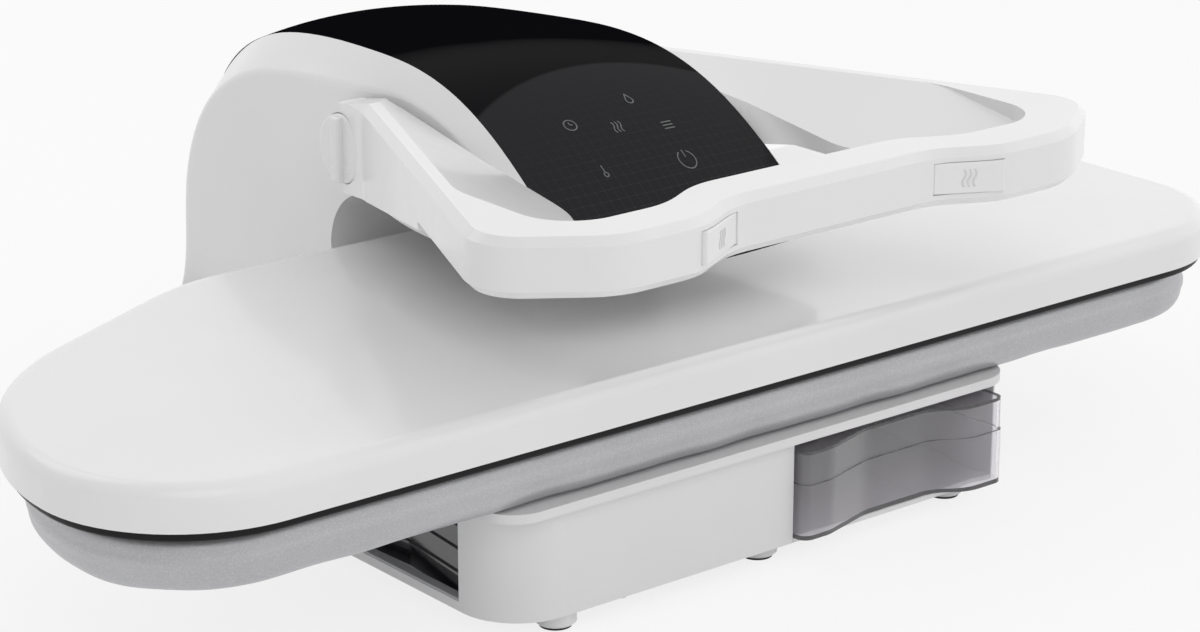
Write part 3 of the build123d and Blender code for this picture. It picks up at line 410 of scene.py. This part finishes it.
def make_piece(name, vertices, faces, material, body):
    """Put a surface into the scene: smooth, with even normals, riding on its body."""
    mesh = bpy.data.meshes.new(name)
    mesh.from_pydata(vertices.tolist(), [], faces)
    piece = bpy.data.objects.new(name, mesh)
    bpy.context.scene.collection.objects.link(piece)
    mesh.polygons.foreach_set("use_smooth", [True] * len(mesh.polygons))
    mesh.materials.append(material)
    work = bmesh.new()
    work.from_mesh(mesh)
    bmesh.ops.recalc_face_normals(work, faces=work.faces)
    work.to_mesh(mesh)
    work.free()
    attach(piece, body)
    return piece


def thicken(piece, thickness):
    """Give a flat piece a real thickness, outwards."""
    skin = piece.modifiers.new("thickness", "SOLIDIFY")
    skin.thickness = thickness
    skin.offset = 1.0


def node_points(name):
    """The vertices of a CAD node as rows of numbers."""
    mesh = frame["nodes"][name].data
    points = np.empty(len(mesh.vertices) * 3)
    mesh.vertices.foreach_get("co", points)
    return points.reshape(-1, 3)


def grid_faces(rows, columns):
    """Quads of a grid of rows that each close on themselves."""
    row, column = np.meshgrid(np.arange(rows - 1), np.arange(columns), indexing="ij")
    after = (column + 1) % columns
    quads = np.stack([row * columns + column, row * columns + after,
                      (row + 1) * columns + after, (row + 1) * columns + column], axis=-1)
    return quads.reshape(-1, 4).tolist()


def plate_outline(inset, count):
    """Outline of the plates, moved in by inset: arcs about fixed centres, joined by straight runs.

    Points lie at centre + (radius - inset) (cos t, sin t) as t goes once round, and are then spaced
    evenly by length. Gives the points and their outward normals.
    """
    s = sizes()
    left, right = plate_low[0], plate_high[0]
    front, back = plate_low[1], plate_high[1]
    out = (-sin(s.nose_taper), cos(s.nose_taper))
    start_x = left + s.taper_start
    nose_y = front + s.nose_front
    nose_radius = (out[0] * (left - start_x) + out[1] * (nose_y - back)) / (-1 - out[0])
    cut = s.crease_radius * tan(s.nose_taper / 2)
    taper = np.degrees(s.nose_taper)
    arcs = [
        (right - s.front_corner, front + s.front_corner, s.front_corner, -90, 0),
        (right - s.rear_corner, back - s.rear_corner, s.rear_corner, 0, 90),
        (start_x + cut, back - s.crease_radius, s.crease_radius, 90, 90 + taper),
        (left + nose_radius, nose_y, nose_radius, 90 + taper, 180),
        (left + s.nose_front, nose_y, s.nose_front, 180, 270),
    ]
    steps = 40
    turn = np.radians(np.concatenate([np.linspace(a[3], a[4], steps) for a in arcs]))
    centre = np.repeat([(a[0], a[1]) for a in arcs], steps, axis=0)
    radius = np.repeat([a[2] for a in arcs], steps)[:, None]
    normal = np.stack([np.cos(turn), np.sin(turn)], axis=1)
    points = centre + (radius - inset) * normal
    points = np.concatenate([points, points[:1]])
    normal = np.concatenate([normal, normal[:1]])
    length = np.concatenate([[0], np.cumsum(np.hypot(*np.diff(points, axis=0).T))])
    even = np.linspace(0, length[-1], count, endpoint=False)
    spaced = np.stack([np.interp(even, length, points[:, i]) for i in (0, 1)], axis=1)
    facing = np.stack([np.interp(even, length, normal[:, i]) for i in (0, 1)], axis=1)
    return spaced, facing / np.linalg.norm(facing, axis=1)[:, None], even


class PRESS_OT_board(bpy.types.Operator):
    """Padded board: a soft closed cushion in a metallised cover that is drawn in under its edge"""

    bl_idname = "press.board"
    bl_label = "Padded board"

    def execute(self, context):
        """The surface is outline(u) moved in and up by profile(v), and the profile is a quarter
        turn at each edge with a side that bulges as a half sine. Gathers are sums of sines of u
        that fade upwards. The top closes towards a line along the board's middle."""
        s = sizes()
        count, turn_steps, lid_rings = 1100, 9, 11
        tray_gap, hem_step, bulge, gather_run = 0.0003, 0.004, 0.0012, 0.0135
        inset = board_low[0] - plate_low[0]
        low = board_low[2] + 0.0002
        top = board_high[2]
        edge, normal, run = plate_outline(inset, count)
        quarter = np.linspace(0, pi / 2, turn_steps)
        side = np.linspace(0, 1, turn_steps)[1:-1]
        height = top - low - s.low_round - s.top_round
        inwards = np.concatenate([
            [s.hem + hem_step, s.hem, s.hem * 0.6],
            s.low_round * (1 - np.sin(quarter)),
            -bulge * np.sin(pi * side),
            s.top_round * (1 - np.cos(quarter)),
        ])
        levels = np.concatenate([
            [tray_top + tray_gap, low, low],
            low + s.low_round * (1 - np.cos(quarter)),
            low + s.low_round + height * side,
            top - s.top_round * (1 - np.sin(quarter)),
        ])
        phase = run / gather_run
        gather = np.sin(phase) + 0.6 * np.sin(phase * 1.618 + 1.0) + 0.5 * np.sin(phase * 0.37 + 2.0)
        fade = np.clip((top - s.top_round - levels) / (top - s.top_round - low), 0, 1) ** 1.6
        fade[:2] = 0
        depth = inwards[:, None] + s.pucker * fade[:, None] * gather[None, :]
        rings = edge[None] - normal[None] * depth[..., None]
        z = np.repeat(levels[:, None], count, axis=1)
        wall = np.concatenate([rings, z[..., None]], axis=-1)
        spine_x = np.clip(edge[:, 0], plate_low[0] + s.nose_front, plate_high[0] - s.front_corner)
        spine = np.stack([spine_x, np.full(count, plate_middle_y)], axis=1)
        shrink = np.linspace(1, 0.06, lid_rings + 1)[1:, None, None]
        inner = spine[None] + (rings[-1] - spine)[None] * shrink
        lid = np.concatenate([inner, np.full((*inner.shape[:2], 1), top)], axis=-1)
        surface = np.concatenate([wall, lid])
        rows = len(surface)
        faces = grid_faces(rows, count)
        faces.append(list(range(count)))
        faces.append(list(range((rows - 1) * count, rows * count)))
        vertices = surface.reshape(-1, 3)
        piece = make_piece("board_cushion", vertices, faces, cloth_finish(), "root")

        # The weave's own coordinates are lengths in metres: round the board, and up and over its edge
        lid_step = 0.012
        around = np.concatenate([[0], np.cumsum(np.hypot(np.diff(inwards), np.diff(levels)))])
        across = np.concatenate([around, around[-1] + lid_step * np.arange(1, lid_rings + 1)])
        uv = np.stack([np.tile(run, rows), np.repeat(across, count)], axis=1)
        layer = piece.data.uv_layers.new(name="weave")
        corner = np.empty(len(piece.data.loops), dtype=np.int32)
        piece.data.loops.foreach_get("vertex_index", corner)
        layer.data.foreach_set("uv", uv[corner].ravel())
        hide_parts("board_cover", "board_pad")
        return {"FINISHED"}


# Symbols

def ribbon(points, width, closed=False):
    """A flat strip along a path: each point moved half the width to both sides of the run."""
    points = np.asarray(points, float)
    if closed:
        run = np.roll(points, -1, axis=0) - np.roll(points, 1, axis=0)
    else:
        run = np.gradient(points, axis=0)
    run /= np.linalg.norm(run, axis=1)[:, None]
    across = np.stack([-run[:, 1], run[:, 0]], axis=1) * width / 2
    count = len(points)
    strip = np.stack([points + across, points - across], axis=1).reshape(-1, 2)
    first = np.arange(count if closed else count - 1)
    after = (first + 1) % count
    faces = np.stack([2 * first, 2 * first + 1, 2 * after + 1, 2 * after], axis=1)
    return strip, faces


def arc(radius, start, end, centre=(0, 0), steps=36):
    """Points on a circle, from one angle in degrees to another."""
    turn = np.radians(np.linspace(start, end, steps))
    return np.stack([centre[0] + radius * np.cos(turn), centre[1] + radius * np.sin(turn)], axis=1)


def line(a, b, steps=8):
    """Evenly spaced points on a straight run."""
    return np.linspace(a, b, steps)


def steam(size, centre=(0, 0)):
    """One rising wave: x follows a sine of the height."""
    rise = np.linspace(-0.5, 0.5, 24)
    return np.stack([centre[0] + size * 0.10 * np.sin(2 * pi * rise), centre[1] + size * rise], axis=1)


def join(parts):
    """Several strips in one set of points and faces."""
    points, faces, start = [], [], 0
    for strip, quads in parts:
        points.append(strip)
        faces.append(quads + start)
        start += len(strip)
    return np.concatenate(points), np.concatenate(faces)


def symbol_strips(kind, size, width):
    """Strips of one generic symbol, about its own middle. Its lengths are shares of its size."""
    half = size / 2
    if kind == "steam":
        lines = [steam(size, (dx * size * 0.32, 0)) for dx in (-1, 0, 1)]
        return [ribbon(p, width) for p in lines]
    if kind == "clock":
        hands = [line((0, 0), (0, half * 0.6)), line((0, 0), (half * 0.45, 0))]
        return [ribbon(arc(half, 0, 350), width, True)] + [ribbon(p, width) for p in hands]
    if kind == "drop":
        tip = [line((-half * 0.52, -half * 0.1), (0, half)), line((half * 0.52, -half * 0.1), (0, half))]
        return [ribbon(arc(half * 0.6, 150, 390, (0, -half * 0.4)), width)] + [ribbon(p, width) for p in tip]
    if kind == "lines":
        return [ribbon(line((-half, dy * half * 0.6), (half, dy * half * 0.6)), width) for dy in (-1, 0, 1)]
    if kind == "heat":
        stem = line((0, -half * 0.3), (0, half))
        return [ribbon(arc(half * 0.35, 0, 350, (0, -half * 0.6)), width, True), ribbon(stem, width)]
    ring = ribbon(arc(half, 118, 422), width)
    return [ring, ribbon(line((0, half * 0.25), (0, half * 1.1)), width)]


def panel_surface():
    """The panel's outer face as a smooth radius about the fan axis: a polynomial in the angle and the
    squared distance from the middle, fitted to the CAD node's outer points. Each round of the fit drops
    the points that lie deeper than the tolerance, which are those of the inner face."""
    lowest, highest = radians(8), radians(75)
    half_width, tolerance, rounds = 0.1, 0.0006, 4
    x, y, z = node_points("touch_panel").T
    angle = np.arctan2(z - fan_z, fan_y - y)
    radius = np.hypot(z - fan_z, fan_y - y)
    near = (angle > lowest) & (angle < highest)
    angle, radius, side = angle[near], radius[near], (x[near] - mech_x) / half_width

    def terms(a, b):
        return np.stack([a ** i * b ** (2 * j) for i in range(7) for j in range(2)], axis=-1)

    outer = np.ones(len(angle), bool)
    for _ in range(rounds):
        weights = np.linalg.lstsq(terms(angle[outer], side[outer]), radius[outer], rcond=None)[0]
        outer = radius - terms(angle, side) @ weights > -tolerance
    return lambda a, across: terms(a, across / half_width) @ weights


class PRESS_OT_panel_symbols(bpy.types.Operator):
    """Faint generic symbols on the touch panel: steam, clock, drop, lines, heat and power"""

    bl_idname = "press.panel_symbols"
    bl_label = "Panel symbols"

    def execute(self, context):
        """Each symbol is drawn flat, then laid on the panel: sideways is X, and upwards is the
        angle about the fan axis times the panel's radius there."""
        s = sizes()
        thickness = 0.00012
        radius_at = panel_surface()
        parts = []
        for kind, side, degrees_up in SYMBOL_PLACES:
            size = s.power_size if kind == "power" else s.symbol_size
            middle = radians(degrees_up)
            reach = radius_at(np.array([middle]), np.array([side]))[0]
            flat, faces = join(symbol_strips(kind, size, s.symbol_line))
            laid = np.stack([side + flat[:, 0], middle + flat[:, 1] / reach], axis=1)
            parts.append((laid, faces))
        laid, faces = join(parts)
        radius = radius_at(laid[:, 1], laid[:, 0]) + thickness
        vertices = np.stack([mech_x + laid[:, 0], fan_y - radius * np.cos(laid[:, 1]),
                             fan_z + radius * np.sin(laid[:, 1])], axis=1)
        finish = moulded("symbol_print", tuple(colours().symbol), 0.3, 900.0, 0.000002)
        piece = make_piece("panel_symbols", vertices, faces.tolist(), finish, "head")
        thicken(piece, thickness)
        return {"FINISHED"}


class PRESS_OT_button_glyphs(bpy.types.Operator):
    """Raised generic steam glyph on each thumb button"""

    bl_idname = "press.button_glyphs"
    bl_label = "Button glyphs"

    def execute(self, context):
        """A glyph lies in the button's own front plane, whose facing is the joint's axis turned round."""
        s = sizes()
        lift, thickness = 0.00002, 0.0004
        finish = moulded("glyph_white", scaled(tuple(colours().white), 0.93), 0.3, 900.0, 0.000004)
        axes = {j["name"]: j["axis"] for j in frame["joints"] if "axis" in j}
        for side in ("left", "right"):
            outward = -np.array(axes[side + "_button_press"], float)
            outward /= np.linalg.norm(outward)
            low, high = (np.array(c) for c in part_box(side + "_steam_button"))
            along = np.cross((0, 0, 1), outward)
            face = (node_points(side + "_steam_button") @ outward).max()
            middle = (low + high) / 2
            middle += outward * (face + lift - middle @ outward)
            flat, faces = join(symbol_strips("steam", s.glyph_height, s.glyph_line))
            vertices = middle + flat[:, :1] * along + flat[:, 1:] * np.array((0, 0, 1.0))
            piece = make_piece(side + "_button_glyph", vertices, faces.tolist(), finish, side + "_button")
            thicken(piece, thickness)
        return {"FINISHED"}


class PRESS_OT_shells(bpy.types.Operator):
    """White shells of the head, plate, handle, knobs, buttons and base"""

    bl_idname = "press.shells"
    bl_label = "White shells"

    def execute(self, context):
        """Gloss plastic with a faint orange peel, and a grained, warmer white for the base."""
        hue = colours()
        white = tuple(hue.white)
        dress("white_shell", moulded("shell_gloss_white", white, 0.24, 420.0, 0.000012, coat=0.35))
        dress("knob_white", moulded("knob_gloss_white", scaled(white, 1.01), 0.26, 420.0, 0.000010, coat=0.3))
        dress("button_white", moulded("button_satin_white", scaled(white, 1.03), 0.34, 1200.0, 0.000012))
        dress("base_white", moulded("base_satin_white", tuple(hue.base_white), 0.40, 1500.0, 0.00003))
        return {"FINISHED"}


class PRESS_OT_dark_parts(bpy.types.Operator):
    """Touch panel, side panel, sill, heated plate and rubber"""

    bl_idname = "press.dark_parts"
    bl_label = "Dark parts"

    def execute(self, context):
        """Gloss black, moulded black, grey trim, dark coated casting and matt rubber."""
        dress("panel_black", panel_finish())
        dress("side_black", moulded("side_gloss_black", (0.012, 0.012, 0.014), 0.14, 300.0, 0.00004, coat=0.4))
        dress("sill_grey", moulded("sill_satin_grey", (0.42, 0.42, 0.43), 0.38, 1200.0, 0.00002))
        plate_coating = moulded("plate_coated_dark", (0.006, 0.006, 0.0065), 0.34, 900.0, 0.00002, specular=0.2)
        dress("plate_dark", plate_coating)
        dress("rubber_black", moulded("rubber_matt_black", (0.025, 0.025, 0.026), 0.8, 1800.0, 0.00006))
        dress("black_plastic", moulded("plastic_matt_black", (0.03, 0.03, 0.032), 0.55, 1500.0, 0.00004))
        return {"FINISHED"}


class PRESS_OT_tank(bpy.types.Operator):
    """Clear water tank with its grey cap and spigot, and the hoses"""

    bl_idname = "press.tank"
    bl_label = "Water tank"

    def execute(self, context):
        """Clear plastic for the tank, moulded grey for its fittings, milky silicone for the hoses."""
        dress("clear_tank", tank_finish())
        dress("grey_plastic", moulded("fitting_grey", (0.30, 0.31, 0.33), 0.45, 1400.0, 0.00003))
        dress("hose_clear", moulded("hose_milky", (0.62, 0.62, 0.60), 0.42, 600.0, 0.00002))
        return {"FINISHED"}


class PRESS_OT_inner_parts(bpy.types.Operator):
    """Steel, cast and laminate parts inside"""

    bl_idname = "press.inner_parts"
    bl_label = "Inner parts"

    def execute(self, context):
        """Drawn steel, cast aluminium, green laminate, foam and the cloth over it."""
        dress("steel", brushed("steel_drawn", (0.56, 0.57, 0.59), 0.28))
        casting = moulded("aluminium_cast", (0.62, 0.63, 0.65), 0.45, 700.0, 0.00006, metallic=1.0)
        dress("bare_aluminium", casting)
        dress("circuit", moulded("laminate_green", (0.03, 0.14, 0.06), 0.35, 500.0, 0.00002))
        dress("board_foam", moulded("foam_cream", (0.70, 0.68, 0.60), 0.9, 900.0, 0.0003))
        dress("board_cloth", cloth_finish())
        return {"FINISHED"}


class PRESS_OT_stage(bpy.types.Operator):
    """Pale floor, soft lamps, white surroundings and the camera"""

    bl_idname = "press.stage"
    bl_label = "Stage"

    def execute(self, context):
        """The camera, the lamps, the floor and the surroundings, in metres from the row's origin."""
        scene = context.scene
        scene.view_settings.view_transform = "Standard"
        target = Vector((0.0, plate_middle_y, 0.131))

        # The camera stands 39 degrees to the left of the front and 18.4 degrees above level
        turn, rise, distance = radians(39.0), radians(18.4), 2.161
        forward = Vector((sin(turn) * cos(rise), cos(turn) * cos(rise), -sin(rise)))
        data = bpy.data.cameras.new("camera")
        data.sensor_width = 36.0
        data.lens = 100.5
        data.clip_end = 50.0
        camera = bpy.data.objects.new("camera", data)
        camera.location = target - forward * distance
        camera.rotation_euler = forward.to_track_quat("-Z", "Y").to_euler()
        scene.collection.objects.link(camera)
        scene.camera = camera

        # The floor is a pale matt sheet, mostly plain white where it is seen directly
        half, whiteness = 6.0, 0.8
        corners = [(-half, -half, 0), (half, -half, 0), (half, half, 0), (-half, half, 0)]
        mesh = bpy.data.meshes.new("floor")
        mesh.from_pydata(corners, [], [(0, 1, 2, 3)])
        floor = bpy.data.objects.new("floor", mesh)
        scene.collection.objects.link(floor)
        material, tree, shader, _ = start_material("floor_pale")
        shader.inputs["Base Color"].default_value = (0.93, 0.93, 0.93, 1)
        shader.inputs["Roughness"].default_value = 0.9
        shader.inputs["Specular IOR Level"].default_value = 0.1
        white = tree.nodes.new("ShaderNodeEmission")
        share = maths(tree, "MULTIPLY", seen_directly(tree), whiteness)
        blend_shaders(tree, share, shader.outputs["BSDF"], white.outputs["Emission"])
        mesh.materials.append(material)

        for name, place, size, power in LAMPS:
            light = bpy.data.lights.new(name, "AREA")
            light.shape = "DISK"
            light.size = size
            light.energy = power
            lamp = bpy.data.objects.new(name, light)
            lamp.location = place
            lamp.rotation_euler = (target - Vector(place)).to_track_quat("-Z", "Y").to_euler()
            scene.collection.objects.link(lamp)

        # The right side of the surroundings is a little brighter, and the camera sees plain white
        plain_light, right_extra = 0.73, 0.2
        world = bpy.data.worlds.new("surroundings")
        scene.world = world
        world.use_nodes = True
        tree = world.node_tree
        background = tree.nodes["Background"]
        background.inputs["Color"].default_value = (1, 1, 1, 1)
        sideways = split_axes(tree, tree.nodes.new("ShaderNodeTexCoord").outputs["Object"])["X"]
        camera_ray = tree.nodes.new("ShaderNodeLightPath").outputs["Is Camera Ray"]
        extra = maths(tree, "MULTIPLY_ADD", camera_ray, -right_extra, right_extra)
        slope = maths(tree, "MULTIPLY", sideways, extra)
        level = maths(tree, "MULTIPLY_ADD", seen_directly(tree), 1 - plain_light, plain_light)
        tree.links.new(maths(tree, "ADD", level, slope), background.inputs["Strength"])
        return {"FINISHED"}


class PRESS_PT_panel(bpy.types.Panel):
    """Sizes, colours and pieces of the steam press"""

    bl_idname = "PRESS_PT_panel"
    bl_label = "Steam press"
    bl_space_type = "VIEW_3D"
    bl_region_type = "UI"
    bl_category = "Steam press"

    def draw(self, context):
        for group in (context.scene.press_sizes, context.scene.press_colours):
            for name in group.__annotations__:
                self.layout.prop(group, name)
        for operator in OPERATORS:
            self.layout.operator(operator.bl_idname)


OPERATORS = (PRESS_OT_stage, PRESS_OT_shells, PRESS_OT_dark_parts, PRESS_OT_tank, PRESS_OT_inner_parts,
             PRESS_OT_board, PRESS_OT_panel_symbols, PRESS_OT_button_glyphs)
CLASSES = (PressSizes, PressColours, *OPERATORS, PRESS_PT_panel)


def register():
    for cls in CLASSES:
        bpy.utils.register_class(cls)
    bpy.types.Scene.press_sizes = bpy.props.PointerProperty(type=PressSizes)
    bpy.types.Scene.press_colours = bpy.props.PointerProperty(type=PressColours)


def unregister():
    del bpy.types.Scene.press_colours
    del bpy.types.Scene.press_sizes
    for cls in reversed(CLASSES):
        bpy.utils.unregister_class(cls)


def main():
    register()
    bpy.ops.press.stage()
    bpy.ops.press.shells()
    bpy.ops.press.dark_parts()
    bpy.ops.press.tank()
    bpy.ops.press.inner_parts()
    bpy.ops.press.board()
    bpy.ops.press.panel_symbols()
    bpy.ops.press.button_glyphs()


if __name__ == "__main__":
    main()
